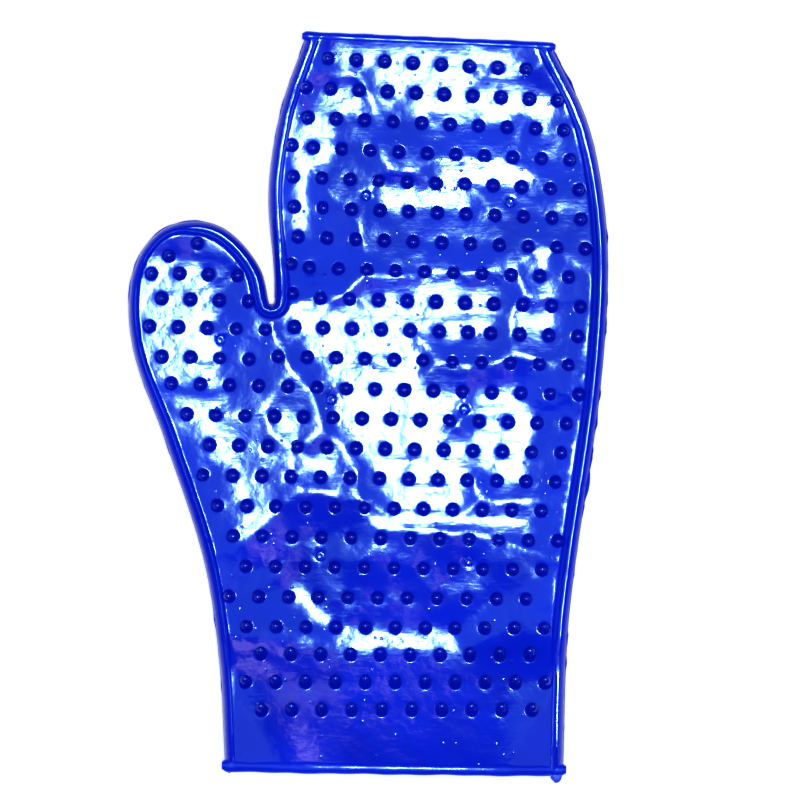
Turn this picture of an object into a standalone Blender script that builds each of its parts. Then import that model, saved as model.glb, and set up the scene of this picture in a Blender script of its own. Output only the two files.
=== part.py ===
"""Flexible grooming mitt with a thumb, open at the wrist and at the fingertips.

Two nubbed sheets, the palm and the back, stand a hand's thickness apart. A rounded
side wall joins them along each long edge, and a rolled bead finishes each end of
each sheet. The mitt lies on the nubs of its back: +Z points up out of the palm,
+Y points to the fingertips, and the thumb is on the -X side. The origin lies on the
surface that the mitt rests on, under the middle of its outline.

Lengths are written in millimetres and turned into metres as each mesh is made.
"""

import math

import bmesh
import bpy
from mathutils import Vector
from mathutils.geometry import delaunay_2d_cdt

MM = 0.001
GAP = 0.3  # clearance left between neighbouring solids
WELD = 1e-6  # points nearer than this, in metres, are one point
SLOPE_STEP = 1.0  # how far apart a face is sampled to find its slope
ROUND_ANGLE = 40.0  # degrees; sharper edges keep a hard crease
TAG_ANGLE = 20.0
# Arguments of Blender's triangle filler
INSIDE_ONLY = 1
FILL_SLACK = 1e-5

# Sheets
SHEET = 1.8  # thickness
PALM_Z = 13.4  # outer face of the palm where it sags lowest
EDGE_LIFT = 1.2  # how much higher the palm is beside the walls
EDGE_SPAN = 14.0  # width of the rise towards a wall
CUFF_LIFT = 6.5  # how far the wrist mouth gapes in its middle
CUFF_LIFT_START = -66.0  # Y where that rise begins
EDGE_POINTS = 12  # pieces that each end of a sheet is divided into

# Side walls
WALL_WIDTH = 3.0
WALL_BEVEL_STEPS = 1
WALL_STEP = 6.0  # spacing of the points along a wall
WALL_BOTTOM = 3.0
WALL_TOP = PALM_Z + EDGE_LIFT
WALL_SETBACK = 0.7  # keeps a wall's slanted end off the bead at the fingertips

# Beads
BEAD_R = 1.0
BEAD_BEVEL_STEPS = 2
BEAD_OVERHANG = 2.6  # how far a bead runs on past the middle of a wall

# Nubs
NUB_HEIGHT = 3.0
NUB_BASE_R = 2.1
NUB_TIP_R = 1.15
NUB_SIDES = 6
NUB_EDGE = 4.1  # least distance from a nub's middle to the middle of a wall

# Rows of nubs, counted from the fingertips
ROW_COUNT = 23
ROW_ANCHOR = (13.4, 109.4)  # where the first row's lattice starts
ROW_PITCH = 9.46
CLOSE_ROWS_FROM = 19  # the rows after this one stand closer, on the rising cuff
CLOSE_ROWS_BY = 0.73
FIRST_ROW_SLOPE = 0.055  # the last row is square to the mitt
FIRST_COLUMN_PITCH = 9.0
COLUMN_PITCH_GROWTH = 0.025
ROW_SHIFTS = (
    0.1, 0.2, 0.4, 0.6, 0.9, 0.95, 0.1, 0.5, 0.9, 1.0, 0.45, 0.8,
    0.35, 0.15, 0.95, 0.45, 1.0, 0.45, 0.9, 0.5, 0.0, 0.5, 0.05,
)
SLIP_ROW = 9  # its outer nubs stand a little nearer the thumb
SLIP_X = 35.0
SLIP = -2.0
# Nubs squeezed in beside the wall
EXTRA_NUBS = ((-20.0, 101.7), (-24.7, 83.3), (-24.6, 45.6), (-24.6, 36.2), (-69.0, 42.4))
THUMB_X = -31.0  # the thumb's nubs lie beyond this
THUMB_DROPS = {6: 3.2, 7: 3.3, 8: 1.8, 9: 1.3, 10: 1.2}  # how far its rows hang lower
THUMB_SHIFT_ROWS = (6, 7, 8)
THUMB_SHIFT = 0.5  # of a column, sideways in those rows
TIP_ROW = 6  # bends round the tip of the thumb
TIP_X = -56.5
TIP_BEND = 0.62

# Middle lines of the walls, from the wrist to the fingertips
CROTCH_CENTRE = (-30.8, 33.7)
CROTCH_R = 2.6
CROTCH_POINTS = 5
THUMB_WALL_BELOW = (
    (-44.0, -113.9), (-45.8, -81.0), (-50.8, -48.5), (-63.2, -10.2), (-73.4, 19.0),
    (-73.8, 41.5), (-66.2, 54.2), (-54.6, 57.7), (-44.6, 54.0), (-35.8, 43.2),
)
THUMB_WALL_ABOVE = ((-28.4, 43.0), (-30.1, 68.8), (-26.3, 94.0), (-18.4, 117.2))
OUTER_WALL = (
    (60.5, -115.3), (61.8, -74.3), (64.6, -48.7), (72.0, 2.1), (74.8, 40.0),
    (73.5, 65.4), (68.2, 90.5), (57.1, 113.9),
)

# Moulding tags at the corners of the wrist
TAG_THICK = 1.2
OUTER_TAG = ((57.4, 0.0), (62.6, 0.0), (61.0, -3.6), (59.8, -4.3), (58.9, -3.4))
THUMB_TAG = ((-45.6, 0.0), (-42.9, 0.0), (-43.6, -2.2), (-44.7, -2.6))

ROUGHNESS = 0.22
BLUE = (0.004, 0.016, 0.55, 1.0)
DEEP_BLUE = (0.002, 0.008, 0.40, 1.0)
BRIGHT_BLUE = (0.010, 0.045, 0.70, 1.0)


def clear_scene():
    for obj in list(bpy.data.objects):
        bpy.data.objects.remove(obj)


def smooth(t):
    """A ramp from 0 to 1 with level ends."""
    t = min(max(t, 0.0), 1.0)
    return t * t * (3.0 - 2.0 * t)


def spline(points, step):
    """Points about one step apart on a smooth curve through the given points."""
    ends = [2 * points[0] - points[1], *points, 2 * points[-1] - points[-2]]
    found = []
    for before, start, end, after in zip(ends, ends[1:], ends[2:], ends[3:]):
        count = max(1, round((end - start).length / step))
        reach = (end - start).length
        leave = (end - before).normalized() * reach
        arrive = (after - start).normalized() * reach
        for i in range(count):
            t = i / count
            found.append(
                start * (2 * t**3 - 3 * t**2 + 1)
                + leave * (t**3 - 2 * t**2 + t)
                + end * (3 * t**2 - 2 * t**3)
                + arrive * (t**3 - t**2)
            )
    return [*found, points[-1]]


def crotch_arc():
    """The tight turn between the thumb and the fingers, from the thumb's side."""
    cx, cy = CROTCH_CENTRE
    arc = []
    for i in range(CROTCH_POINTS):
        angle = math.pi * (1.0 + i / (CROTCH_POINTS - 1))
        arc.append(Vector((cx + CROTCH_R * math.cos(angle), cy + CROTCH_R * math.sin(angle))))
    return arc


def vectors(points):
    return [Vector(p) for p in points]


def offset(path, distance):
    """The path moved sideways, to its left where the distance is positive."""
    moved = []
    for i, point in enumerate(path):
        along = path[min(i + 1, len(path) - 1)] - path[max(i - 1, 0)]
        along.normalize()
        moved.append(point + distance * Vector((-along.y, along.x)))
    return moved


def line(start, end, count):
    """The points between two ends, without the ends."""
    return [start.lerp(end, i / count) for i in range(1, count)]


THUMB_PATH = spline(
    vectors(THUMB_WALL_BELOW) + crotch_arc() + vectors(THUMB_WALL_ABOVE), WALL_STEP
)
OUTER_PATH = spline(vectors(OUTER_WALL), WALL_STEP)


def sheet_outline():
    """The sheet's edge, counter-clockwise from the thumb's corner of the wrist."""
    inset = WALL_WIDTH / 2 + GAP
    left = offset(THUMB_PATH, -inset)
    right = offset(OUTER_PATH, inset)
    cuff = line(left[0], right[0], EDGE_POINTS)
    fingers = line(right[-1], left[-1], EDGE_POINTS)
    return [left[0], *cuff, *right, *fingers, *reversed(left[1:])]


OUTLINE = sheet_outline()


def wall_foot(place):
    """The nearest point on the middle line of a wall."""
    feet = []
    for path in (THUMB_PATH, OUTER_PATH):
        for a, b in zip(path, path[1:]):
            span = b - a
            t = (place - a).dot(span) / span.length_squared
            feet.append(a + span * min(max(t, 0.0), 1.0))
    return min(feet, key=lambda foot: (place - foot).length_squared)


def wall_distance(x, y):
    """Distance from the middle line of the nearest wall."""
    place = Vector((x, y))
    return (place - wall_foot(place)).length


def inside(x, y):
    """Whether a point is within the sheet's outline."""
    odd = False
    for a, b in zip(OUTLINE, OUTLINE[1:] + OUTLINE[:1]):
        if (a.y > y) != (b.y > y) and x < a.x + (y - a.y) / (b.y - a.y) * (b.x - a.x):
            odd = not odd
    return odd


def palm_height(x, y):
    """Outer face of the palm: it sags in the middle and gapes at the wrist."""
    rise = EDGE_LIFT * (1.0 - smooth((wall_distance(x, y) - WALL_WIDTH / 2) / EDGE_SPAN))
    left, right = THUMB_PATH[0], OUTER_PATH[0]
    middle = (left.x + right.x) / 2
    across = (x - middle) / ((right.x - left.x) / 2)
    along = (CUFF_LIFT_START - y) / (CUFF_LIFT_START - left.y)
    gape = CUFF_LIFT * max(along, 0.0) ** 2 * max(1.0 - across**2, 0.0)
    return PALM_Z + rise + gape


def back_height(x, y):
    """Outer face of the back, which lies flat on its nubs."""
    return NUB_HEIGHT


def stand_clear(place):
    """A nub's place, moved in from the wall where it is too near."""
    foot = wall_foot(place)
    gap = (place - foot).length
    return foot + (place - foot) * max(NUB_EDGE / gap, 1.0)


def nub_centres():
    """Where the nubs stand: uneven rows that stay clear of the walls."""
    anchor_x, anchor_y = ROW_ANCHOR
    centres = [stand_clear(place) for place in vectors(EXTRA_NUBS)]
    for row, shift in zip(range(ROW_COUNT), ROW_SHIFTS):
        pitch = FIRST_COLUMN_PITCH + COLUMN_PITCH_GROWTH * row
        slope = FIRST_ROW_SLOPE * (1.0 - row / (ROW_COUNT - 1))
        row_y = anchor_y - ROW_PITCH * row + CLOSE_ROWS_BY * max(row - CLOSE_ROWS_FROM, 0)
        reach = math.ceil(2 * abs(OUTER_PATH[0].x) / pitch)
        for column in range(-reach, reach):
            x = anchor_x + (column + shift) * pitch
            y = row_y - slope * (x - anchor_x)
            if x < THUMB_X:
                x -= THUMB_SHIFT * pitch * (row in THUMB_SHIFT_ROWS)
                y -= THUMB_DROPS.get(row, 0.0)
                y -= TIP_BEND * max(TIP_X - x, 0.0) * (row == TIP_ROW)
            x += SLIP * (row == SLIP_ROW and x > SLIP_X)
            if inside(x, y) and wall_distance(x, y) > NUB_EDGE:
                centres.append(Vector((x, y)))
    return centres


def material(name, colour):
    made = bpy.data.materials.new(name)
    made.use_nodes = True
    shader = made.node_tree.nodes["Principled BSDF"]
    shader.inputs["Base Color"].default_value = colour
    shader.inputs["Roughness"].default_value = ROUGHNESS
    made.diffuse_color = colour
    return made


def add_object(name, data, collection, look):
    data.materials.append(look)
    obj = bpy.data.objects.new(name, data)
    collection.objects.link(obj)
    return obj


def ring(centre):
    """The foot of one nub."""
    turn = 2 * math.pi / NUB_SIDES
    return [
        centre + NUB_BASE_R * Vector((math.cos(i * turn), math.sin(i * turn)))
        for i in range(NUB_SIDES)
    ]


def normal(height, x, y, up):
    """Which way a nub points on a face of this height."""
    step = SLOPE_STEP
    dx = (height(x + step, y) - height(x - step, y)) / (2 * step)
    dy = (height(x, y + step) - height(x, y - step)) / (2 * step)
    return Vector((-dx * up, -dy * up, up)).normalized()


def raise_nub(bm, face, height, up):
    """Draw a foot out along its normal and narrow it to the tip."""
    centre = face.calc_center_median() / MM
    out = normal(height, centre.x, centre.y, up)
    tip = bmesh.ops.extrude_discrete_faces(bm, faces=[face])["faces"][0]
    narrow = NUB_TIP_R / NUB_BASE_R
    for vert in tip.verts:
        vert.co = (centre + (vert.co / MM - centre) * narrow + out * NUB_HEIGHT) * MM


def sheet_mesh(name, height, up, centres):
    """A sheet with nubs on its outer face, and a plain inner face.

    height gives the outer face, and up is 1 on the palm and -1 on the back.
    """
    rims = len(OUTLINE)
    rings = [ring(c) for c in centres]
    flat = OUTLINE + [p for one in rings for p in one]
    loops = [list(range(rims))]
    for i in range(len(rings)):
        first = rims + i * NUB_SIDES
        loops.append(list(range(first, first + NUB_SIDES)))
    filled = delaunay_2d_cdt(flat, [], loops, INSIDE_ONLY, FILL_SLACK)
    points, faces, owners = filled[0], filled[2], filled[5]

    bm = bmesh.new()
    outer = [bm.verts.new(Vector((p.x, p.y, height(p.x, p.y))) * MM) for p in points]
    for corners, owner in zip(faces, owners):
        if len(owner) == 1:
            bm.faces.new([outer[i] for i in corners])
    feet = [bm.faces.new([outer[i] for i in loop]) for loop in loops[1:]]

    inner_flat = OUTLINE + (centres if up > 0 else [])
    inner_fill = delaunay_2d_cdt(inner_flat, [], loops[:1], INSIDE_ONLY, FILL_SLACK)
    inner = []
    for p in inner_fill[0]:
        z = height(p.x, p.y) - up * SHEET
        inner.append(bm.verts.new(Vector((p.x, p.y, z)) * MM))
    for corners in inner_fill[2]:
        bm.faces.new([inner[i] for i in reversed(corners)])
    for i in range(rims):
        j = (i + 1) % rims
        bm.faces.new((outer[j], outer[i], inner[i], inner[j]))
    for foot in feet:
        raise_nub(bm, foot, height, up)
    bmesh.ops.recalc_face_normals(bm, faces=bm.faces)
    mesh = bpy.data.meshes.new(name)
    bm.to_mesh(mesh)
    bm.free()
    return mesh


def poly_curve(name, points):
    """A straight-sided spline through points in millimetres."""
    curve = bpy.data.curves.new(name, "CURVE")
    curve.dimensions = "3D"
    run = curve.splines.new("POLY")
    run.points.add(len(points) - 1)
    for knot, point in zip(run.points, points):
        knot.co = (*(point * MM), 1.0)
    return curve


def wall_curve(name, path):
    """A side wall: an upright band with rounded top and bottom."""
    middle = (WALL_BOTTOM + WALL_TOP) / 2
    last = path[-1] + WALL_SETBACK * (path[-2] - path[-1]).normalized()
    run = [*path[:-1], last]
    curve = poly_curve(name, [Vector((p.x, p.y, middle)) for p in run])
    curve.twist_mode = "Z_UP"
    curve.fill_mode = "FULL"
    curve.bevel_depth = WALL_WIDTH / 2 * MM
    curve.bevel_resolution = WALL_BEVEL_STEPS
    curve.extrude = ((WALL_TOP - WALL_BOTTOM) / 2 - WALL_WIDTH / 2) * MM
    curve.use_fill_caps = True
    return curve


def bead_curve(name, start, end, outward, height, up):
    """The rolled bead past one end of a sheet.

    start and end are the last points of the two walls, and outward is 1 at the
    fingertips and -1 at the wrist.
    """
    along = (end - start).normalized()
    clear = Vector((0.0, outward * (BEAD_R + GAP)))
    first = start - along * BEAD_OVERHANG
    last = end + along * BEAD_OVERHANG
    low, high = sorted((start.x + WALL_WIDTH / 2, end.x - WALL_WIDTH / 2))
    points = []
    for p in [first, start, *line(start, end, EDGE_POINTS), end, last]:
        x = min(max(p.x, low), high)
        z = height(x, p.y) - up * SHEET / 2
        points.append(Vector((p.x + clear.x, p.y + clear.y, z)))
    curve = poly_curve(name, points)
    curve.bevel_depth = BEAD_R * MM
    curve.bevel_resolution = BEAD_BEVEL_STEPS
    curve.use_fill_caps = True
    return curve


def tag_curve(name, corners, edge_y):
    """A flat moulding tag between the two beads, at the end of a side wall."""
    curve = bpy.data.curves.new(name, "CURVE")
    curve.dimensions = "2D"
    curve.fill_mode = "BOTH"
    curve.extrude = TAG_THICK / 2 * MM
    run = curve.splines.new("POLY")
    run.points.add(len(corners) - 1)
    for knot, (x, y) in zip(run.points, corners):
        knot.co = (x * MM, (edge_y + y) * MM, 0.0, 1.0)
    run.use_cyclic_u = True
    return curve


def shade_round(obj, angle):
    """Smooth shading that keeps the edges sharper than the angle."""
    graph = bpy.context.evaluated_depsgraph_get()
    mesh = bpy.data.meshes.new_from_object(obj.evaluated_get(graph))
    bm = bmesh.new()
    bm.from_mesh(mesh)
    bmesh.ops.remove_doubles(bm, verts=bm.verts, dist=WELD)
    bm.to_mesh(mesh)
    bm.free()
    mesh.shade_smooth()
    mesh.set_sharp_from_angle(angle=math.radians(angle))
    return mesh


def add_curve_solid(name, curve, collection, look, angle=ROUND_ANGLE, z=0.0):
    """A curve made into a welded, smoothly shaded mesh object."""
    guide = bpy.data.objects.new(name + "_curve", curve)
    guide.location.z = z * MM
    collection.objects.link(guide)
    bpy.context.view_layer.update()
    mesh = shade_round(guide, angle)
    obj = add_object(name, mesh, collection, look)
    obj.matrix_world = guide.matrix_world.copy()
    bpy.data.objects.remove(guide)
    return obj


def add_sheets(collection):
    centres = nub_centres()
    palm = sheet_mesh("palm_sheet", palm_height, 1, centres)
    add_object("palm_sheet", palm, collection, material("palm_blue", BLUE))
    back = sheet_mesh("back_sheet", back_height, -1, centres)
    add_object("back_sheet", back, collection, material("back_blue", BLUE))


def add_walls(collection):
    for name, path in (("thumb_side_seam", THUMB_PATH), ("outer_side_seam", OUTER_PATH)):
        look = material(name + "_blue", DEEP_BLUE)
        add_curve_solid(name, wall_curve(name, path), collection, look)


def add_beads(collection):
    ends = (
        ("cuff_bead", THUMB_PATH[0], OUTER_PATH[0], -1),
        ("finger_bead", THUMB_PATH[-1], OUTER_PATH[-1], 1),
    )
    sides = (("palm", palm_height, 1), ("back", back_height, -1))
    for end_name, start, end, outward in ends:
        for side_name, height, up in sides:
            name = f"{side_name}_{end_name}"
            curve = bead_curve(name, start, end, outward, height, up)
            add_curve_solid(name, curve, collection, material(name + "_blue", BRIGHT_BLUE))


def add_tags(collection):
    middle = (WALL_BOTTOM + WALL_TOP) / 2
    tags = (
        ("outer_cuff_tag", OUTER_TAG, OUTER_PATH[0]),
        ("thumb_cuff_tag", THUMB_TAG, THUMB_PATH[0]),
    )
    for name, corners, wall_end in tags:
        curve = tag_curve(name, corners, wall_end.y - GAP)
        look = material(name + "_blue", BRIGHT_BLUE)
        add_curve_solid(name, curve, collection, look, angle=TAG_ANGLE, z=middle)


def main():
    clear_scene()
    collection = bpy.data.collections.new("grooming_mitt")
    bpy.context.scene.collection.children.link(collection)
    add_sheets(collection)
    add_walls(collection)
    add_beads(collection)
    add_tags(collection)


main()
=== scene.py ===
import math
import random

import bmesh
import bpy
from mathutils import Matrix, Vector
from mathutils.geometry import delaunay_2d_cdt
from mathutils.kdtree import KDTree
from mathutils.noise import noise as value_noise


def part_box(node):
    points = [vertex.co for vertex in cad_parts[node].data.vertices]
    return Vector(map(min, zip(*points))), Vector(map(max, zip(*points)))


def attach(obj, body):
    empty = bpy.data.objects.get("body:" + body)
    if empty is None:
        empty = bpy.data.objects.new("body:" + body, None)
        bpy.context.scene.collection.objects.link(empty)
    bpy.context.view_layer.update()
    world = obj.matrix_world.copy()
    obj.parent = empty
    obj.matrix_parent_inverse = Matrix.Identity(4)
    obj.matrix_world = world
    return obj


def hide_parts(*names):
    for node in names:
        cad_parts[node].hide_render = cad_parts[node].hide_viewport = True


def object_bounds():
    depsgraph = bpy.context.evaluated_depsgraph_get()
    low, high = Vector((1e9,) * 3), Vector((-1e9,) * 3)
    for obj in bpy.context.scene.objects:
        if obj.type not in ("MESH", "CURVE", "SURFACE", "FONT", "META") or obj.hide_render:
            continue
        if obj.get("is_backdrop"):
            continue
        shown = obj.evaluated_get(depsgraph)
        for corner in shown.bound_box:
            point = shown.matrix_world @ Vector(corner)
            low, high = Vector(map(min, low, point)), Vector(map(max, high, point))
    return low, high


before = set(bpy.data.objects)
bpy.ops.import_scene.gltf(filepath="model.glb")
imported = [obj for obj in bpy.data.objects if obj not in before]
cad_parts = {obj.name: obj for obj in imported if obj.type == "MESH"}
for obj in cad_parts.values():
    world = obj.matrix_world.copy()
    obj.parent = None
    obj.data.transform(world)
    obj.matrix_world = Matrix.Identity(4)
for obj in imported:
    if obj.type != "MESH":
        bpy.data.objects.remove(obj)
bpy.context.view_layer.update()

RNG = random.Random(7)

MM = 0.001  # the lengths below are in millimetres unless they say metres
WELD = 1e-6  # metres
LEVEL = 1e-5  # metres: heights this close to each other are one flat face

# Sheets
SHEET = 1.8  # thickness
PALM_Z = 13.4  # the palm's usual height
BACK_Z = 3.6  # the back's outer face
WALL_INSET = 1.8  # from a sheet's edge to the middle of a wall
WALL_HALF = 1.5  # half a wall's thickness
TUCK = 0.9  # how far a sheet's edge runs under a wall
END_REACH = 0.9  # how far a sheet's end runs under a bead
CORNER_TURN = math.radians(50)  # a turn sharper than this is a corner of the mitt

# Spacing of the mesh's points
EDGE_STEP = 1.3  # along the outline
GRID_STEP = 1.6  # between the nubs
CURVE_STEPS = 12  # between two points of the CAD outline
SHORTEST = 1e-9  # keeps a division by a length safe
ROW_PITCH = 0.866  # between the rows of a triangular grid, as a share of GRID_STEP
WALL_ROWS = (1.1, 1.6, 2.1, 2.7, 3.3, 4.0)  # rows beside a wall, from its middle line
ROW_SLACK = 0.12  # how much nearer to the wall a point of those rows may come
FOOT_GAP = 0.6  # least gap from a nub's foot to the grid
ROW_FOOT_GAP = 0.45  # and to the rows beside a wall
EDGE_GAP = 0.8  # from the outline to the grid
ROW_GAP = 0.7  # from the last row beside a wall to the grid

# Arguments of Blender's triangle filler
FILL_INSIDE = 1
FILL_SLACK = 1e-5

# Angles past which an edge is shaded sharp, in degrees
SHEET_SHARP = 50
SWEEP_SHARP = 40
TAG_SHARP = 60

# Nubs: radius and height of each ring, from the sheet up to the tip
NUB_PROFILE = (
    (2.50, 0.00), (2.24, 0.02), (2.10, 0.12), (2.02, 0.40), (1.95, 0.90), (1.84, 1.50),
    (1.68, 2.15), (1.46, 2.72), (1.16, 3.16), (0.78, 3.45), (0.36, 3.60),
)
NUB_SEGMENTS = 18
NUB_TIP = 0.02  # how far the middle of the tip stands over its last ring
FOLLOW_HEIGHT = 0.05  # rings lower than this follow the sheet
NUB_LOOK_FROM = 2  # the ring from which up a nub has its own material, a deeper blue that is partly painted shade
NUB_SWELL = (-0.03, 0.03)  # spread of the nubs' widths
NUB_TALL = (-0.05, 0.03)  # and of their heights
NUB_LEAN = 0.10  # the farthest that a tip strays in X or in Y
BACK_TALL = 0.99  # the tallest share that the floor leaves room for
WRIST_LEAN = 1.2  # of the tips of the palm's nubs by the wrist
WRIST_LEAN_FADE = 3.0  # spread in Y of the place where that lean begins
TIP_REACH = 2.6  # more than the width of a CAD nub's tip
TIP_SAME = 1e-3  # points closer than this are one point

# Ejector pins leave a low ring round a shallow dimple
MARK_PROFILE = (
    (1.95, 0.00), (1.75, 0.04), (1.58, 0.20), (1.42, 0.24), (1.26, 0.08), (1.10, -0.16),
    (0.70, -0.20), (0.30, -0.10),
)
MARKS = (
    (-2.2, 65.3), (45.2, 63.1), (-49.0, 19.8), (-12.7, 3.3), (31.2, -1.8),
    (-13.7, -47.9), (31.5, -51.1),
)
MARK_CLEAR = 2.5  # the grid keeps this far from a mark's middle
MARK_SEARCH = 4  # steps each way in the search for a clear spot
MARK_STEP = 0.5  # length of a step
MARK_GAIN = 0.02  # a spot has to be this much clearer to be taken

# The wrist's gape
CUFF_LIFT = 5.5  # at the wrist's edge
CUFF_LIFT_START = -71.0  # Y where it starts
CUFF_POWER = 1.4  # more than 1, so it starts gently
CUFF_ROUND = 4  # the power that brings it down to the walls


EASE_LIMIT = 40.0  # keeps math.exp in range


def clamp(t):
    return min(max(t, 0.0), 1.0)


def blend(pair, share):
    """The value between the two of a pair."""
    return pair[0] + (pair[1] - pair[0]) * share


def ease(t):
    """0 well below 0 and 1 well above it."""
    return 1.0 / (1.0 + math.exp(-max(min(t, EASE_LIMIT), -EASE_LIMIT)))


def ripple(parts, i):
    """Unevenness at a step along a sweep: parts are sizes, turns per step and phases."""
    return sum(size * math.sin(i * turn + phase) for size, turn, phase in parts)


# ---------------------------------------------------------------- frame


def flat_loop(node):
    """The outline of a node's flat upper face, in millimetres, counter-clockwise."""
    bm = bmesh.new()
    bm.from_mesh(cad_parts[node].data)
    bmesh.ops.remove_doubles(bm, verts=bm.verts, dist=WELD)
    top = max(v.co.z for v in bm.verts)
    level = {f for f in bm.faces if all(v.co.z > top - LEVEL for v in f.verts)}
    following = {}
    for face in level:
        for loop in face.loops:
            others = [f for f in loop.edge.link_faces if f in level]
            if len(others) == 1:
                following[loop.vert] = loop.link_loop_next.vert
    start = next(iter(following))
    ring = [start]
    while following[ring[-1]] is not start:
        ring.append(following[ring[-1]])
    points = [Vector((v.co.x, v.co.y)) / MM for v in ring]
    bm.free()
    return points


def turn_at(points, i):
    """How far the closed outline turns left at a point."""
    before = points[i] - points[i - 1]
    after = points[(i + 1) % len(points)] - points[i]
    return math.atan2(before.cross(after), before.dot(after))


def four_edges(points):
    """The outline cut at its four corners: wrist, outer side, fingertips, thumb side."""
    corners = [i for i in range(len(points)) if turn_at(points, i) > CORNER_TURN]
    corners.sort(key=lambda i: (points[i].y > 0, points[i].x))
    start = corners[0]
    turned = points[start:] + points[:start]
    cuts = sorted((i - start) % len(points) for i in corners) + [len(points)]
    turned.append(turned[0])
    return [turned[a:b + 1] for a, b in zip(cuts, cuts[1:])]


def resample(points, step):
    """Points one step apart on a smooth curve through the given points."""
    ends = [2 * points[0] - points[1], *points, 2 * points[-1] - points[-2]]
    fine = []
    for p0, p1, p2, p3 in zip(ends, ends[1:], ends[2:], ends[3:]):
        for i in range(CURVE_STEPS):
            t = i / CURVE_STEPS
            fine.append(
                0.5 * (2 * p1 + (p2 - p0) * t + (2 * p0 - 5 * p1 + 4 * p2 - p3) * t * t
                       + (3 * p1 - p0 - 3 * p2 + p3) * t**3)
            )
    fine.append(points[-1])
    lengths = [0.0]
    for a, b in zip(fine, fine[1:]):
        lengths.append(lengths[-1] + (b - a).length)
    count = max(2, round(lengths[-1] / step))
    found, at = [], 0
    for i in range(count + 1):
        want = lengths[-1] * i / count
        while at < len(fine) - 2 and lengths[at + 1] < want:
            at += 1
        span = max(lengths[at + 1] - lengths[at], SHORTEST)
        found.append(fine[at].lerp(fine[at + 1], (want - lengths[at]) / span))
    return found


def offset(path, distance):
    """The path moved sideways, to its left where the distance is positive."""
    moved = []
    for i, point in enumerate(path):
        along = (path[min(i + 1, len(path) - 1)] - path[max(i - 1, 0)]).normalized()
        moved.append(point + distance * Vector((-along.y, along.x)))
    return moved


def nub_centres():
    """The middles of the tips that the back rests on."""
    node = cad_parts["back_sheet"]
    tips = [v.co / MM for v in node.data.vertices if v.co.z < LEVEL]
    centres = []
    for tip in tips:
        for group in centres:
            if (group[0] - tip).length < TIP_REACH:
                if all((p - tip).length > TIP_SAME for p in group):
                    group.append(tip)
                break
        else:
            centres.append([tip])
    return [sum(group, Vector()).to_2d() / len(group) for group in centres]


def plan_tree(points):
    """Finds the nearest of some points of the plan."""
    tree = KDTree(len(points))
    for i, p in enumerate(points):
        tree.insert((p.x, p.y, 0.0), i)
    tree.balance()
    return tree


WRIST, OUTER, _, THUMB = four_edges(flat_loop("back_sheet"))
OUTER_LINE = offset(resample(OUTER, EDGE_STEP), -WALL_INSET)
THUMB_LINE = offset(resample(THUMB, EDGE_STEP), -WALL_INSET)[::-1]
NUBS = nub_centres()
LINE_TREE = plan_tree(OUTER_LINE + THUMB_LINE)
NUB_TREE = plan_tree(NUBS)
LEFT_X, RIGHT_X = WRIST[0].x, WRIST[-1].x
CUFF_Y = WRIST[0].y


def sheet_outline():
    """The visible sheet's edge, which runs on under the walls and the beads."""
    inset = WALL_HALF - TUCK
    right = offset(OUTER_LINE, inset)
    left = offset(THUMB_LINE, -inset)
    reach = Vector((0, END_REACH))
    wrist = [left[0] - reach, right[0] - reach]
    tips = [right[-1] + reach, left[-1] + reach]
    cuff_count = round((wrist[1] - wrist[0]).length / EDGE_STEP)
    tip_count = round((tips[1] - tips[0]).length / EDGE_STEP)
    cuff = [wrist[0].lerp(wrist[1], i / cuff_count) for i in range(cuff_count + 1)]
    top = [tips[0].lerp(tips[1], i / tip_count) for i in range(tip_count + 1)]
    return [*cuff, *right[1:-1], *top, *reversed(left[1:-1])]


OUTLINE = sheet_outline()


def inside(x, y):
    """Whether a point lies within the sheet's outline."""
    odd = False
    for a, b in zip(OUTLINE, OUTLINE[1:] + OUTLINE[:1]):
        if (a.y > y) != (b.y > y) and x < a.x + (y - a.y) / (b.y - a.y) * (b.x - a.x):
            odd = not odd
    return odd


# ---------------------------------------------------------------- heights


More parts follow.
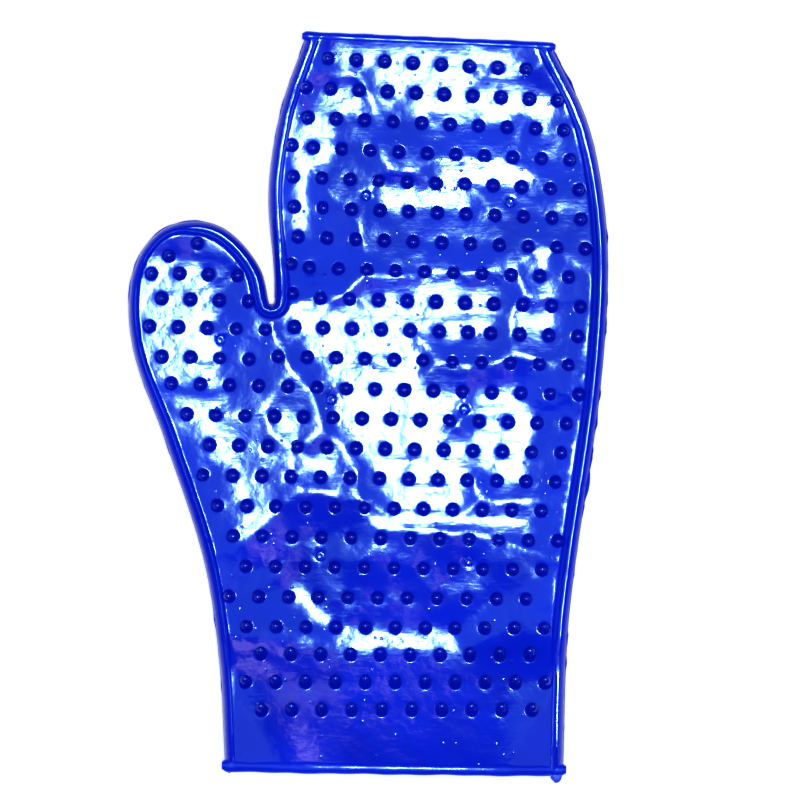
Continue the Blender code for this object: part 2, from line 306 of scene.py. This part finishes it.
# Terraces of the soft palm: how far each stands above the usual height, the slope round
# it, then its strips, given as both ends and the half width
TERRACES = (
    # by the fingertips
    (1.0, 0.11, ((-7, 112, 44, 112, 3.4), (6, 105, 28, 105, 5.4), (-11, 98, -7, 98, 4.6),
                 (16, 98, 56, 97, 4.5), (-20, 90, -13, 92, 4.6), (-21, 85, -16, 82, 4.4),
                 (55, 92, 55, 90, 2.4))),
    (1.0, 0.19, ((-22, 78, -21, 56, 3.8),)),
    (-0.5, 0.11, ((24, 75, 50, 75, 3.2), (42, 75, 45, 75, 4.6), (7, 66, 28, 67, 3.4))),
    (-2.9, 0.11, ((55, 49, 55, 41, 3.0), (50, 27, 55, 27, 4.2))),
    # across the middle
    (-2.4, 0.11, ((1, 34, 37, 35, 3.6), (21, 35, 26, 35, 4.7), (-24, 28, 3, 26, 4.6),
                  (3, 26, 36, 26, 3.6), (-26, 35, -16, 34, 2.6), (-17, 20, 11, 20, 4.5),
                  (-11, 11, 11, 10, 3.8), (-8, 2, 23, 2, 4.5), (-5, -6, 19, -6, 4.5),
                  (-2, -14, 48, -14, 3.8), (3, -22, 25, -21, 4.1), (9, -30, 26, -30, 3.8),
                  (2, -36, 50, -37, 1.2))),
    (-2.4, 0.12, ((37, 2, 46, 3, 3.4), (37, -6, 50, -5, 4.0), (42, -21, 47, -21, 4.0))),
    (-2.1, 0.08, ((-28, -4, -27, -6, 2.0), (-19, -20, -13, -20, 2.4),
                  (-34, -28, -26, -28, 1.5))),
    # on the thumb, and down from it to the wrist
    (-0.6, 0.11, ((-71, 42, -57, 42, 5.4), (-75, 34, -53, 34, 5.4), (-73, 26, -55, 27, 5.4),
                  (-71, 19, -54, 19, 5.0), (-66, 11, -53, 11, 4.6))),
    (-1.0, 0.085, ((-59, 3, -52, 3, 4.0), (-56, -3, -49, -13, 4.2),
                   (-44, -20, -39, -36, 3.2), (-38, -43, -34, -51, 1.8))),
    (1.5, 0.13, ((-24, -59, -20, -64, 2.4), (-18, -67, -10, -70, 1.6),
                 (-9, -71, 25, -73, 0.9))),
)
STRIPS = tuple(
    (height, slope, strip) for height, slope, strips in TERRACES for strip in strips
)
STRIP_SOFT = 1.1  # rounds the edge of a terrace
WRIST_LEVEL = 1.5  # how far the palm stands above its usual height by the wrist
WRIST_FADE = (-78.0, 3.0)  # Y where the terraces give way to the wrist's rise, and its spread
WAVER = ((11.0, 2.2), (4.6, 0.8))  # wavelength and size of the terraces' uneven edges
UNDULATION = ((17.0, 0.09), (7.0, 0.02))  # the same for the small swells everywhere
UNDULATION_LAYER = 31.0
LAYER_STEP = 7.3  # keeps the waves of one sum apart
SLOPE_STEP = 0.4  # for the slope under a nub

# Where the palm meets a wall
RIM_SHARE = 0.35  # of a terrace's height that is left there
RIM_RISE = 0.8  # added to it
CREST_NARROW = 0.7  # from a wall's middle line in to its crest, on the thumb's far side
CREST_WIDE = 2.3  # the same beside the fingers and along the outer wall
CREST_CUFF = 0.6  # added to the narrow one below the thumb
FINGER_SIDE_X = (-58.0, 2.0)  # the wide crest starts right of this X, with this spread
FINGER_SIDE_Y = (25.0, 2.5)  # and above this Y
CUFF_SIDE_Y = (8.0, 5.0)  # the thumb's root, below which CREST_CUFF is added
FILLET_START = (0.6, 1.5)  # from the middle line, beside a narrow crest and a wide one
FILLET_WIDTH = (1.1, 2.2)


def wall_near(x, y):
    """Distance to the nearer wall, and whether it is the outer one."""
    found = LINE_TREE.find((x, y, 0.0))
    return found[2], found[1] < len(OUTER_LINE)


def wall_distance(x, y):
    return LINE_TREE.find((x, y, 0.0))[2]


def crest_inset(x, y, is_outer):
    """How far in from the nearest wall's middle line its crest stands."""
    if is_outer:
        return CREST_WIDE
    right_of = ease((x - FINGER_SIDE_X[0]) / FINGER_SIDE_X[1])
    above = ease((y - FINGER_SIDE_Y[0]) / FINGER_SIDE_Y[1])
    narrow = CREST_NARROW + CREST_CUFF * ease((CUFF_SIDE_Y[0] - y) / CUFF_SIDE_Y[1])
    return narrow + (CREST_WIDE - narrow) * (right_of * above)


def soft_ramp(t, soft):
    """Rises with t once t is past 0, with a rounded corner."""
    return max(t, 0.0) + soft * math.log1p(math.exp(-abs(t) / soft))


def waves(parts, x, y, layer):
    """A sum of smooth random waves, each given by its length and its size."""
    return sum(
        size * value_noise(Vector((x / length, y / length, layer + i * LAYER_STEP)))
        for i, (length, size) in enumerate(parts)
    )


def terrace(x, y):
    """The highest of the slopes that fall away from the terraces."""
    waver = waves(WAVER, x, y, 0.0)
    highest = -math.inf
    for height, slope, (x0, y0, x1, y1, half) in STRIPS:
        dx, dy = x1 - x0, y1 - y0
        t = clamp(((x - x0) * dx + (y - y0) * dy) / (dx * dx + dy * dy))
        away = math.hypot(x - x0 - t * dx, y - y0 - t * dy) - half + waver
        highest = max(highest, height - slope * soft_ramp(away, STRIP_SOFT))
    return highest


def palm_height(x, y):
    """Outer face of the palm in millimetres."""
    across = (2 * x - LEFT_X - RIGHT_X) / (RIGHT_X - LEFT_X)
    along = max((CUFF_LIFT_START - y) / (CUFF_LIFT_START - CUFF_Y), 0.0)
    gape = CUFF_LIFT * along**CUFF_POWER * max(1.0 - across**CUFF_ROUND, 0.0)
    fade = ease((y - WRIST_FADE[0]) / WRIST_FADE[1])
    level = terrace(x, y) * fade + WRIST_LEVEL * (1 - fade)
    level += waves(UNDULATION, x, y, UNDULATION_LAYER)
    gap, is_outer = wall_near(x, y)
    wide = (crest_inset(x, y, is_outer) - CREST_NARROW) / (CREST_WIDE - CREST_NARROW)
    past = (gap - blend(FILLET_START, wide)) / blend(FILLET_WIDTH, wide)
    beside = (1.0 - clamp(past)) ** 2
    rim = RIM_SHARE * level + RIM_RISE
    return PALM_Z + gape + level + (rim - level) * beside


def back_height(x, y):
    """Outer face of the back in millimetres."""
    return BACK_Z


def height_normal(height, x, y, up):
    """Outward normal of a sheet's face."""
    step = SLOPE_STEP
    dx = (height(x + step, y) - height(x - step, y)) / (2 * step)
    dy = (height(x, y + step) - height(x, y - step)) / (2 * step)
    return Vector((-dx * up, -dy * up, up)).normalized()


# ---------------------------------------------------------------- sheets


def wall_rows():
    """Rows of points along the walls, for the fillets."""
    found = []
    for line, side in ((OUTER_LINE, 1), (THUMB_LINE, -1)):
        for away in WALL_ROWS:
            for p in offset(line, side * away)[1:-1]:
                if wall_distance(p.x, p.y) < away - ROW_SLACK:
                    continue
                if NUB_TREE.find((p.x, p.y, 0.0))[2] < NUB_PROFILE[0][0] + ROW_FOOT_GAP:
                    continue
                if inside(p.x, p.y):
                    found.append(p)
    return found


def grid_points():
    """Points that carry the sheet's swells between the nubs and the edges."""
    edge = plan_tree(OUTLINE)
    low_x, high_x = min(p.x for p in OUTLINE), max(p.x for p in OUTLINE)
    low_y, high_y = min(p.y for p in OUTLINE), max(p.y for p in OUTLINE)
    found = []
    rows = int((high_y - low_y) / (GRID_STEP * ROW_PITCH))
    for j in range(rows):
        y = low_y + j * GRID_STEP * ROW_PITCH
        for i in range(int((high_x - low_x) / GRID_STEP)):
            x = low_x + (i + 0.5 * (j % 2)) * GRID_STEP
            if NUB_TREE.find((x, y, 0.0))[2] < NUB_PROFILE[0][0] + FOOT_GAP:
                continue
            if edge.find((x, y, 0.0))[2] < EDGE_GAP or not inside(x, y):
                continue
            if wall_distance(x, y) < WALL_ROWS[-1] + ROW_GAP:
                continue
            found.append(Vector((x, y)))
    return found + wall_rows()


GRID = grid_points()


def clear_spot(place):
    """The spot near a place that stands farthest from the nubs."""
    best, best_gap = place, 0.0
    steps = range(-MARK_SEARCH, MARK_SEARCH + 1)
    for i in steps:
        for j in steps:
            p = place + Vector((i, j)) * MARK_STEP
            gap = NUB_TREE.find((p.x, p.y, 0.0))[2]
            if gap > best_gap + MARK_GAIN:
                best, best_gap = p, gap
    return best


MARK_SPOTS = [clear_spot(Vector(p)) for p in MARKS]


def ring_points(centre, radius):
    """Points of a circle in the plan."""
    turn = 2 * math.pi / NUB_SEGMENTS
    return [
        centre + radius * Vector((math.cos(i * turn), math.sin(i * turn)))
        for i in range(NUB_SEGMENTS)
    ]


def add_mark(bm, foot, centre, height, up):
    """Rings of vertices over an ejector mark."""
    previous = foot
    for radius, rise in MARK_PROFILE[1:]:
        ring = []
        for p in ring_points(centre, radius):
            ring.append(bm.verts.new(Vector((p.x, p.y, height(p.x, p.y) + up * rise)) * MM))
        for i in range(NUB_SEGMENTS):
            j = (i + 1) % NUB_SEGMENTS
            bm.faces.new((previous[i], previous[j], ring[j], ring[i]))
        previous = ring
    bm.faces.new(previous)


def add_nub(bm, foot, centre, height, up):
    """Rings of vertices from a nub's foot up to its tip."""
    out = height_normal(height, centre.x, centre.y, up)
    base = Vector((centre.x, centre.y, height(centre.x, centre.y)))
    swell = 1.0 + RNG.uniform(*NUB_SWELL)
    tall = 1.0 + RNG.uniform(*NUB_TALL)
    lean = Vector((RNG.uniform(-1, 1), RNG.uniform(-1, 1), 0)) * NUB_LEAN
    if up > 0:
        lean.y += WRIST_LEAN * ease((CUFF_LIFT_START - centre.y) / WRIST_LEAN_FADE)
    else:
        tall = min(tall, BACK_TALL)
    previous = foot
    turn = 2 * math.pi / NUB_SEGMENTS
    for step, (radius, tall_at) in enumerate(NUB_PROFILE[1:]):
        ring = []
        share = tall_at / NUB_PROFILE[-1][1]
        for i in range(NUB_SEGMENTS):
            c, s = math.cos(i * turn), math.sin(i * turn)
            if tall_at < FOLLOW_HEIGHT:
                x, y = centre.x + radius * c, centre.y + radius * s
                place = Vector((x, y, height(x, y) + up * tall_at))
            else:
                flat = Vector((c, s, 0)) * radius * swell
                flat -= out * flat.dot(out)
                place = base + flat + (out * tall_at * tall) + lean * share
            ring.append(bm.verts.new(place * MM))
        for i in range(NUB_SEGMENTS):
            j = (i + 1) % NUB_SEGMENTS
            face = bm.faces.new((previous[i], previous[j], ring[j], ring[i]))
            # rings from NUB_LOOK_FROM up take the nubs' deeper blue, which is partly painted
            # shade
            face.material_index = 1 if step >= NUB_LOOK_FROM else 0
        previous = ring
    tip = bm.verts.new((base + out * (NUB_PROFILE[-1][1] + NUB_TIP) * tall + lean) * MM)
    for i in range(NUB_SEGMENTS):
        face = bm.faces.new((previous[i], previous[(i + 1) % NUB_SEGMENTS], tip))
        face.material_index = 1


def sheet_mesh(name, height, up, marks):
    """A closed sheet: its outer face with nubs and marks, its inner face and its rim."""
    rims = len(OUTLINE)
    flat = list(OUTLINE)
    loops = [list(range(rims))]
    feet = [(c, NUB_PROFILE[0][0]) for c in NUBS] + [(c, MARK_PROFILE[0][0]) for c in marks]
    for centre, radius in feet:
        first = len(flat)
        flat += ring_points(centre, radius)
        loops.append(list(range(first, first + NUB_SEGMENTS)))
    flat += [p for p in GRID if all((p - c).length > MARK_CLEAR for c in marks)]
    filled = delaunay_2d_cdt(flat, [], loops, FILL_INSIDE, FILL_SLACK)
    points, faces, owners = filled[0], filled[2], filled[5]
    bm = bmesh.new()
    outer = [bm.verts.new(Vector((p.x, p.y, height(p.x, p.y))) * MM) for p in points]
    for corners, owner in zip(faces, owners):
        if len(owner) == 1:
            bm.faces.new([outer[i] for i in corners])
    for i, (centre, loop) in enumerate(zip(NUBS + marks, loops[1:])):
        build = add_nub if i < len(NUBS) else add_mark
        build(bm, [outer[k] for k in loop], centre, height, up)
    plain = delaunay_2d_cdt(OUTLINE + GRID, [], loops[:1], FILL_INSIDE, FILL_SLACK)
    inner = [
        bm.verts.new(Vector((p.x, p.y, height(p.x, p.y) - up * SHEET)) * MM)
        for p in plain[0]
    ]
    for corners in plain[2]:
        bm.faces.new([inner[i] for i in reversed(corners)])
    for i in range(rims):
        j = (i + 1) % rims
        bm.faces.new((outer[j], outer[i], inner[i], inner[j]))
    bmesh.ops.recalc_face_normals(bm, faces=bm.faces)
    return finish_mesh(bm, name, SHEET_SHARP)


def finish_mesh(bm, name, sharp):
    """A smooth-shaded mesh with sharp edges past an angle in degrees."""
    mesh = bpy.data.meshes.new(name)
    bm.to_mesh(mesh)
    bm.free()
    mesh.shade_smooth()
    mesh.set_sharp_from_angle(angle=math.radians(sharp))
    return mesh


def add_piece(name, mesh, looks, slot, *nodes):
    """A visible piece on the mitt's one body, in place of some CAD nodes."""
    obj = bpy.data.objects.new(name, mesh)
    bpy.context.scene.collection.objects.link(obj)
    for look in looks:
        mesh.materials.append(look)
    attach(obj, "root")
    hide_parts(*nodes)
    return obj


# ---------------------------------------------------------------- swept pieces


# Walls
WALL_ARC = 15  # points in each quarter of a wall's section
WALL_FOOT = (1.1, 0.5)  # a wall's inner edge: in from the crest, and down into the sheet
WALL_LIP = (0.55, 0.02)  # where it comes out of the sheet: in from the crest, and up
WALL_SILL = 1.2  # height of the inner edge over the wall's underside
FLASH_ROOT = 0.04  # the flash starts this far out from the wall's face
FLASH_OUT = 0.10  # and reaches this far even where it is least
FLASH_EDGES = (0.30, 0.11, -0.06, -0.24)  # heights of its edges from the parting line
CREST_RISE = 0.32  # of a wall's crest over the sheet
WALL_DROP = 0.25  # of its underside below the back's outer face
CREST_RIPPLE = ((0.06, 0.37, 0.0), (0.05, 0.11, 1.0))
FLASH_TURNS = (0.05, 0.13, 0.31, 0.83)  # of the flash's waves at each step
FLASH_JITTER = 0.12

# Beads
BEAD_STEPS = 70
BEAD_SIDES = 14
BEAD_PAST = 2.6  # how far a bead's ends pass the walls' middle lines
BEAD_LEVEL_END = 1.8  # its height stops changing this far inside them
BEAD_RADIUS = 1.12
BEAD_END = 0.55  # the radius at its ends, as a share
BEAD_SPREAD = {1: 1.35, -1: 1.85}  # width over height: at the fingertips, at the wrist
BEAD_OUT = 2.3  # from the sheets' ends to a bead's outer edge
BEAD_RIPPLE = ((0.05, 0.8, 0.0), (0.04, 0.33, 2.0))

# Tags: shares of the width, and distances in from the outermost point
TAG_OUTLINE = ((0.16, 1.4), (0.42, 0.0), (0.62, 0.15), (0.78, 1.0))
TAG_TUCK = 0.6  # how far a tag runs in under the bead
TAG_THICK = 1.2
TAG_BEVEL = 0.25


def sweep(name, sections):
    """A closed tube through equal rings of points in millimetres."""
    bm = bmesh.new()
    rings = [[bm.verts.new(p * MM) for p in section] for section in sections]
    count = len(rings[0])
    for a, b in zip(rings, rings[1:]):
        for i in range(count):
            j = (i + 1) % count
            bm.faces.new((a[i], a[j], b[j], b[i]))
    bm.faces.new(rings[0])
    bm.faces.new(reversed(rings[-1]))
    bmesh.ops.recalc_face_normals(bm, faces=bm.faces)
    return finish_mesh(bm, name, SWEEP_SHARP)


def wall_profile(inner, top, bottom, flash, crest):
    """A wall's section as (outward, z): a crest over the sheet's edge, then a round side.

    The crest stands inside the wall's middle line, and the side swings out to the
    parting line, where the flash is.
    """
    middle = (top + bottom) / 2
    reach = WALL_HALF + crest
    quarter = [math.pi / 2 * i / WALL_ARC for i in range(WALL_ARC + 1)]
    profile = [
        (-crest - WALL_FOOT[0], inner - WALL_FOOT[1]),
        (-crest - WALL_LIP[0], inner + WALL_LIP[1]),
    ]
    for angle in quarter[:-1]:
        rise = (top - middle) * math.cos(angle)
        profile.append((-crest + reach * math.sin(angle), middle + rise))
    root, tip = WALL_HALF + FLASH_ROOT, WALL_HALF + FLASH_OUT + flash
    for out, rise in zip((root, tip, tip, root), FLASH_EDGES):
        profile.append((out, middle + rise))
    for angle in quarter[1:]:
        drop = (middle - bottom) * math.sin(angle)
        profile.append((-crest + reach * math.cos(angle), middle - drop))
    profile.append((-crest - WALL_FOOT[0], bottom + WALL_SILL))
    return profile


def wall_sections(line, side, flash_at):
    """Sections of a wall along its middle line. side is 1 where out is to the right."""
    sections = []
    out_path = offset(line, -side)
    for i, (p, q) in enumerate(zip(line, out_path)):
        out = (q - p).normalized()
        inset = crest_inset(p.x, p.y, side > 0)
        crest = p - out * inset
        inner = palm_height(crest.x, crest.y)
        top = inner + CREST_RISE + ripple(CREST_RIPPLE, i)
        profile = wall_profile(inner, top, BACK_Z - WALL_DROP, flash_at(i), inset)
        sections.append([Vector((p.x + out.x * o, p.y + out.y * o, z)) for o, z in profile])
    return sections


def bead_sections(start, end, outward, height, up):
    """Rings of a rolled bead past one end of a sheet."""
    along = (end - start).normalized()
    across = Vector((-along.y, along.x))
    first, last = start - along * BEAD_PAST, end + along * BEAD_PAST
    low, high = sorted((start.x + BEAD_LEVEL_END, end.x - BEAD_LEVEL_END))
    spread = BEAD_SPREAD[outward]
    sections = []
    for i in range(BEAD_STEPS + 1):
        t = i / BEAD_STEPS
        p = first.lerp(last, t)
        x = min(max(p.x, low), high)
        z = height(x, p.y) - up * SHEET / 2
        steps_in = min(t, 1 - t) * BEAD_STEPS
        taper = min(1.0, BEAD_END + (1.0 - BEAD_END) * steps_in)
        radius = (BEAD_RADIUS + ripple(BEAD_RIPPLE, i)) * taper
        wide = radius * spread
        middle = Vector((p.x, p.y + outward * (BEAD_OUT - BEAD_RADIUS * spread), z))
        ring = []
        for k in range(BEAD_SIDES):
            angle = 2 * math.pi * k / BEAD_SIDES
            side = across * math.cos(angle) * wide
            ring.append(middle + Vector((side.x, side.y, math.sin(angle) * radius)))
        sections.append(ring)
    return sections


def flash_noise(seed, least, most, threshold):
    """Ragged moulding flash along a parting line, in millimetres."""
    rng = random.Random(seed)
    phases = [rng.uniform(0, 6.28) for _ in FLASH_TURNS]

    def at(i):
        wave = sum(math.sin(i * turn + phase) for turn, phase in zip(FLASH_TURNS, phases))
        wave = wave / len(FLASH_TURNS) + rng.uniform(-FLASH_JITTER, FLASH_JITTER)
        return least + (most - least) * clamp((wave - threshold) / (1 - threshold))

    return at


def tag_mesh(name, low, high):
    """A flat tag with softened edges, as wide as a CAD tag's box."""
    width, z = high.x - low.x, (low.z + high.z) / 2
    corners = [(low.x, high.y + TAG_TUCK)]
    corners += [(low.x + share * width, low.y + rise) for share, rise in TAG_OUTLINE]
    corners.append((high.x, high.y + TAG_TUCK))
    half = TAG_THICK / 2
    bm = bmesh.new()
    lower = [bm.verts.new(Vector((x, y, z - half)) * MM) for x, y in corners]
    upper = [bm.verts.new(Vector((x, y, z + half)) * MM) for x, y in corners]
    bm.faces.new(reversed(lower))
    bm.faces.new(upper)
    for i in range(len(corners)):
        j = (i + 1) % len(corners)
        bm.faces.new((lower[i], lower[j], upper[j], upper[i]))
    bmesh.ops.recalc_face_normals(bm, faces=bm.faces)
    bmesh.ops.bevel(
        bm, geom=bm.edges[:], offset=TAG_BEVEL * MM, segments=3, affect="EDGES", profile=0.6
    )
    return finish_mesh(bm, name, TAG_SHARP)


# ---------------------------------------------------------------- materials


REFRACTION = 1.54
HIGHLIGHT_TINT = (0.42, 0.70, 1.0, 1)
HAZE_SPREAD = (0.7, 1.5)  # shares of the roughness, where the haze is least and most

# Scale and detail of each noise
CLOUD = (38.0, 3.0)
HAZE = (90.0, 4.0)
SWELL = (140.0, 2.0)
CRINKLE = (380.0, 2.0)
FINE = (1100.0, 3.0)
SCUFF = (1300.0, 1.0)
CLOUD_STOPS = (0.35, 0.68)  # between the deep colour and the body's

# Pits: some of the cells of a Voronoi texture have one
PIT_SCALE = 300.0
PIT_EDGE = (0.07, 0.19)
PIT_CHANCE = (0.60, 0.62)

# Scuffs are long and thin
SCUFF_TURN = 0.30
SCUFF_SQUEEZE = 0.16

# Relief: shares that are added to the swell's, and its depth in metres
CRINKLE_SHARE = 0.22
FINE_SHARE = 0.10
PIT_SHARE = 0.5
SCUFF_SHARE = 0.10
RELIEF_DEPTH = 0.00035

BLACK = (0, 0, 0, 1)
WHITE = (1, 1, 1, 1)


def blue_material(name, body, deep, rough, bump, level=0.5):
    """Glossy soft plastic: cloudy colour, faint scuffs and pits."""
    made = bpy.data.materials.new(name)
    made.use_nodes = True
    nodes, links = made.node_tree.nodes, made.node_tree.links
    shader = nodes["Principled BSDF"]
    shader.inputs["IOR"].default_value = REFRACTION
    shader.inputs["Coat Weight"].default_value = 0.0
    shader.inputs["Specular Tint"].default_value = HIGHLIGHT_TINT
    shader.inputs["Specular IOR Level"].default_value = level

    place = nodes.new("ShaderNodeTexCoord")

    def noise(scale, detail):
        node = nodes.new("ShaderNodeTexNoise")
        node.inputs["Scale"].default_value = scale
        node.inputs["Detail"].default_value = detail
        links.new(place.outputs["Object"], node.inputs["Vector"])
        return node

    def ramp(source, stops):
        node = nodes.new("ShaderNodeValToRGB")
        first, second = node.color_ramp.elements
        first.position, first.color = stops[0]
        second.position, second.color = stops[1]
        links.new(source, node.inputs["Fac"])
        return node

    cloud = noise(*CLOUD)
    colour = ramp(cloud.outputs["Fac"], ((CLOUD_STOPS[0], deep), (CLOUD_STOPS[1], body)))
    links.new(colour.outputs["Color"], shader.inputs["Base Color"])

    haze = noise(*HAZE)
    gloss = nodes.new("ShaderNodeMapRange")
    gloss.inputs["To Min"].default_value = rough * HAZE_SPREAD[0]
    gloss.inputs["To Max"].default_value = rough * HAZE_SPREAD[1]
    links.new(haze.outputs["Fac"], gloss.inputs["Value"])
    links.new(gloss.outputs["Result"], shader.inputs["Roughness"])

    swell = noise(*SWELL)
    crinkle = noise(*CRINKLE)
    fine = noise(*FINE)
    specks = nodes.new("ShaderNodeTexVoronoi")
    specks.inputs["Scale"].default_value = PIT_SCALE
    links.new(place.outputs["Object"], specks.inputs["Vector"])
    pits = ramp(specks.outputs["Distance"], ((PIT_EDGE[0], BLACK), (PIT_EDGE[1], WHITE)))
    chosen = ramp(specks.outputs["Color"], ((PIT_CHANCE[0], WHITE), (PIT_CHANCE[1], BLACK)))
    rare = nodes.new("ShaderNodeMath")
    rare.operation = "MAXIMUM"
    links.new(pits.outputs["Color"], rare.inputs[0])
    links.new(chosen.outputs["Color"], rare.inputs[1])
    stretch = nodes.new("ShaderNodeMapping")
    stretch.inputs["Rotation"].default_value = (0.0, 0.0, SCUFF_TURN)
    stretch.inputs["Scale"].default_value = (SCUFF_SQUEEZE, 1.0, 1.0)
    links.new(place.outputs["Object"], stretch.inputs["Vector"])
    scuff = noise(*SCUFF)
    links.new(stretch.outputs["Vector"], scuff.inputs["Vector"])

    def add(a, b, share):
        node = nodes.new("ShaderNodeMath")
        node.operation = "MULTIPLY_ADD"
        node.inputs[1].default_value = share
        links.new(b, node.inputs[0])
        links.new(a, node.inputs[2])
        return node.outputs["Value"]

    total = add(swell.outputs["Fac"], crinkle.outputs["Fac"], CRINKLE_SHARE)
    total = add(total, fine.outputs["Fac"], FINE_SHARE)
    total = add(total, rare.outputs["Value"], PIT_SHARE)
    total = add(total, scuff.outputs["Fac"], SCUFF_SHARE)
    relief = nodes.new("ShaderNodeBump")
    relief.inputs["Strength"].default_value = bump
    relief.inputs["Distance"].default_value = RELIEF_DEPTH
    links.new(total, relief.inputs["Height"])
    links.new(relief.outputs["Normal"], shader.inputs["Normal"])
    return made


# ---------------------------------------------------------------- assembly


SHEET_BLUE = blue_material(
    "sheet_blue", body=(0.0004, 0.014, 0.66, 1), deep=(0.0003, 0.008, 0.50, 1),
    rough=0.10, bump=0.4,
)
# Nubs: a deeper blue than the sheet, partly from their thicker translucent plastic and partly
# painted shade for their self-shadowing and the dark they reflect
NUB_BLUE_AND_SHADE = blue_material(
    "nub_blue_and_shade", body=(0.0003, 0.005, 0.45, 1), deep=(0.0002, 0.003, 0.37, 1),
    rough=0.13, bump=0.2,
)
SEAM_BLUE = blue_material(
    "seam_blue", body=(0.0003, 0.010, 0.60, 1), deep=(0.0002, 0.007, 0.50, 1),
    rough=0.22, bump=0.3, level=0.12,
)
BEAD_BLUE = blue_material(
    "bead_blue", body=(0.0005, 0.016, 0.70, 1), deep=(0.0003, 0.010, 0.58, 1),
    rough=0.14, bump=0.3,
)

add_piece(
    "palm_skin", sheet_mesh("palm_skin", palm_height, 1, MARK_SPOTS),
    (SHEET_BLUE, NUB_BLUE_AND_SHADE), "nubbed_sheet", "palm_sheet",
)
add_piece(
    "back_skin", sheet_mesh("back_skin", back_height, -1, []),
    (SHEET_BLUE, NUB_BLUE_AND_SHADE), "nubbed_sheet", "back_sheet",
)

thumb_flash = flash_noise(seed=3, least=0.05, most=0.4, threshold=0.2)
outer_flash = flash_noise(seed=5, least=0.1, most=0.9, threshold=0.1)
for name, line, side, flash, node in (
    ("thumb_side_welt", THUMB_LINE, -1, thumb_flash, "thumb_side_seam"),
    ("outer_side_welt", OUTER_LINE, 1, outer_flash, "outer_side_seam"),
):
    welt = sweep(name, wall_sections(line, side, flash))
    add_piece(name, welt, (SEAM_BLUE,), "side_seam", node)

for end, start_point, end_point, outward in (
    ("cuff", THUMB_LINE[0], OUTER_LINE[0], -1),
    ("finger", THUMB_LINE[-1], OUTER_LINE[-1], 1),
):
    for side, height, up in (("palm", palm_height, 1), ("back", back_height, -1)):
        sections = bead_sections(start_point, end_point, outward, height, up)
        name = f"{side}_{end}_roll"
        add_piece(
            name, sweep(name, sections), (BEAD_BLUE,), "edge_bead", f"{side}_{end}_bead"
        )

for tag in ("outer_cuff_tag", "thumb_cuff_tag"):
    low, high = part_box(tag)
    add_piece(
        tag.replace("_tag", "_flash"), tag_mesh(tag, low / MM, high / MM), (BEAD_BLUE,),
        "moulding_tag", tag,
    )


# ---------------------------------------------------------------- stage, in metres


FLOOR_SIZE = 6.0
FLOOR_COLOUR = (0.84, 0.80, 0.77, 1)
FLOOR_ROUGHNESS = 0.9
FLOOR_GLOW = (1.0, 0.99, 0.98, 1)
FLOOR_GLOW_STRENGTH = 0.5

# Panels: name, place, size, radiance and colour
PANELS = (
    ("key", (0.2, 0.0, 6.0), (0.82, 0.70), 90.0, (0.85, 0.95, 1.0)),
    ("key_edge", (0.2, 0.0, 6.04), (1.2, 1.0), 14.0, (0.50, 0.86, 1.0)),
    ("halo", (0.2, 0.0, 6.08), (1.8, 1.52), 4.0, (0.45, 0.62, 1.0)),
    ("wide_halo", (0.2, -1.0, 6.12), (4.8, 4.0), 1.2, (0.32, 0.64, 1.0)),
    ("left_panel", (-4.2, 0.2, 4.8), (3.2, 5.2), 1.3, (0.45, 0.62, 1.0)),
    ("right_panel", (4.2, 0.2, 4.8), (3.2, 5.2), 1.1, (0.45, 0.62, 1.0)),
    ("warm_bar", (-0.5, 1.16, 5.8), (1.0, 0.18), 5.0, (1.0, 0.46, 0.58)),
    ("warm_side", (-1.0, 1.75, 5.5), (0.45, 0.9), 6.0, (1.0, 0.46, 0.58)),
)
PANEL_TARGET = (0.02, 0, 0)
WORLD_COLOUR = (0.8, 0.86, 1.0, 1)
WORLD_STRENGTH = 0.07

CAMERA_DISTANCE = 4.0
CAMERA_SPAN = 0.2555  # width of the view at the floor
CAMERA_SHIFT = (0.0101, 0.0023)  # from over the middle of the mitt
SENSOR = 36.0  # millimetres


def add_floor():
    bpy.ops.mesh.primitive_plane_add(size=FLOOR_SIZE, location=(0, 0, 0))
    floor = bpy.context.object
    floor.name = "floor"
    look = bpy.data.materials.new("floor_white")
    look.use_nodes = True
    shader = look.node_tree.nodes["Principled BSDF"]
    shader.inputs["Base Color"].default_value = FLOOR_COLOUR
    shader.inputs["Roughness"].default_value = FLOOR_ROUGHNESS
    shader.inputs["Emission Color"].default_value = FLOOR_GLOW
    shader.inputs["Emission Strength"].default_value = FLOOR_GLOW_STRENGTH
    shader.inputs["Specular IOR Level"].default_value = 0.0
    floor.data.materials.append(look)
    floor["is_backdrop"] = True


def add_panel(name, place, size, radiance, colour):
    """A rectangular light, as bright as its radiance whatever its size."""
    light = bpy.data.lights.new(name, "AREA")
    light.shape = "RECTANGLE"
    light.size, light.size_y = size
    light.energy = radiance * math.pi * size[0] * size[1]
    light.color = colour
    obj = bpy.data.objects.new(name, light)
    obj.location = place
    towards = Vector(PANEL_TARGET) - Vector(place)
    obj.rotation_euler = towards.to_track_quat("-Z", "Y").to_euler()
    bpy.context.scene.collection.objects.link(obj)


def add_world():
    world = bpy.data.worlds.new("studio")
    world.use_nodes = True
    background = world.node_tree.nodes["Background"]
    background.inputs["Color"].default_value = WORLD_COLOUR
    background.inputs["Strength"].default_value = WORLD_STRENGTH
    bpy.context.scene.world = world


def add_camera():
    """Looks straight down, with a long lens."""
    camera = bpy.data.cameras.new("camera")
    obj = bpy.data.objects.new("camera", camera)
    low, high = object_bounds()
    middle = (low + high) / 2
    camera.sensor_width = SENSOR
    camera.lens = SENSOR * CAMERA_DISTANCE / CAMERA_SPAN
    obj.location = (middle.x + CAMERA_SHIFT[0], middle.y + CAMERA_SHIFT[1], CAMERA_DISTANCE)
    bpy.context.scene.collection.objects.link(obj)
    bpy.context.scene.camera = obj


add_floor()
for panel in PANELS:
    add_panel(*panel)
add_world()
bpy.context.scene.view_settings.view_transform = "Standard"
add_camera()

low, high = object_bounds()
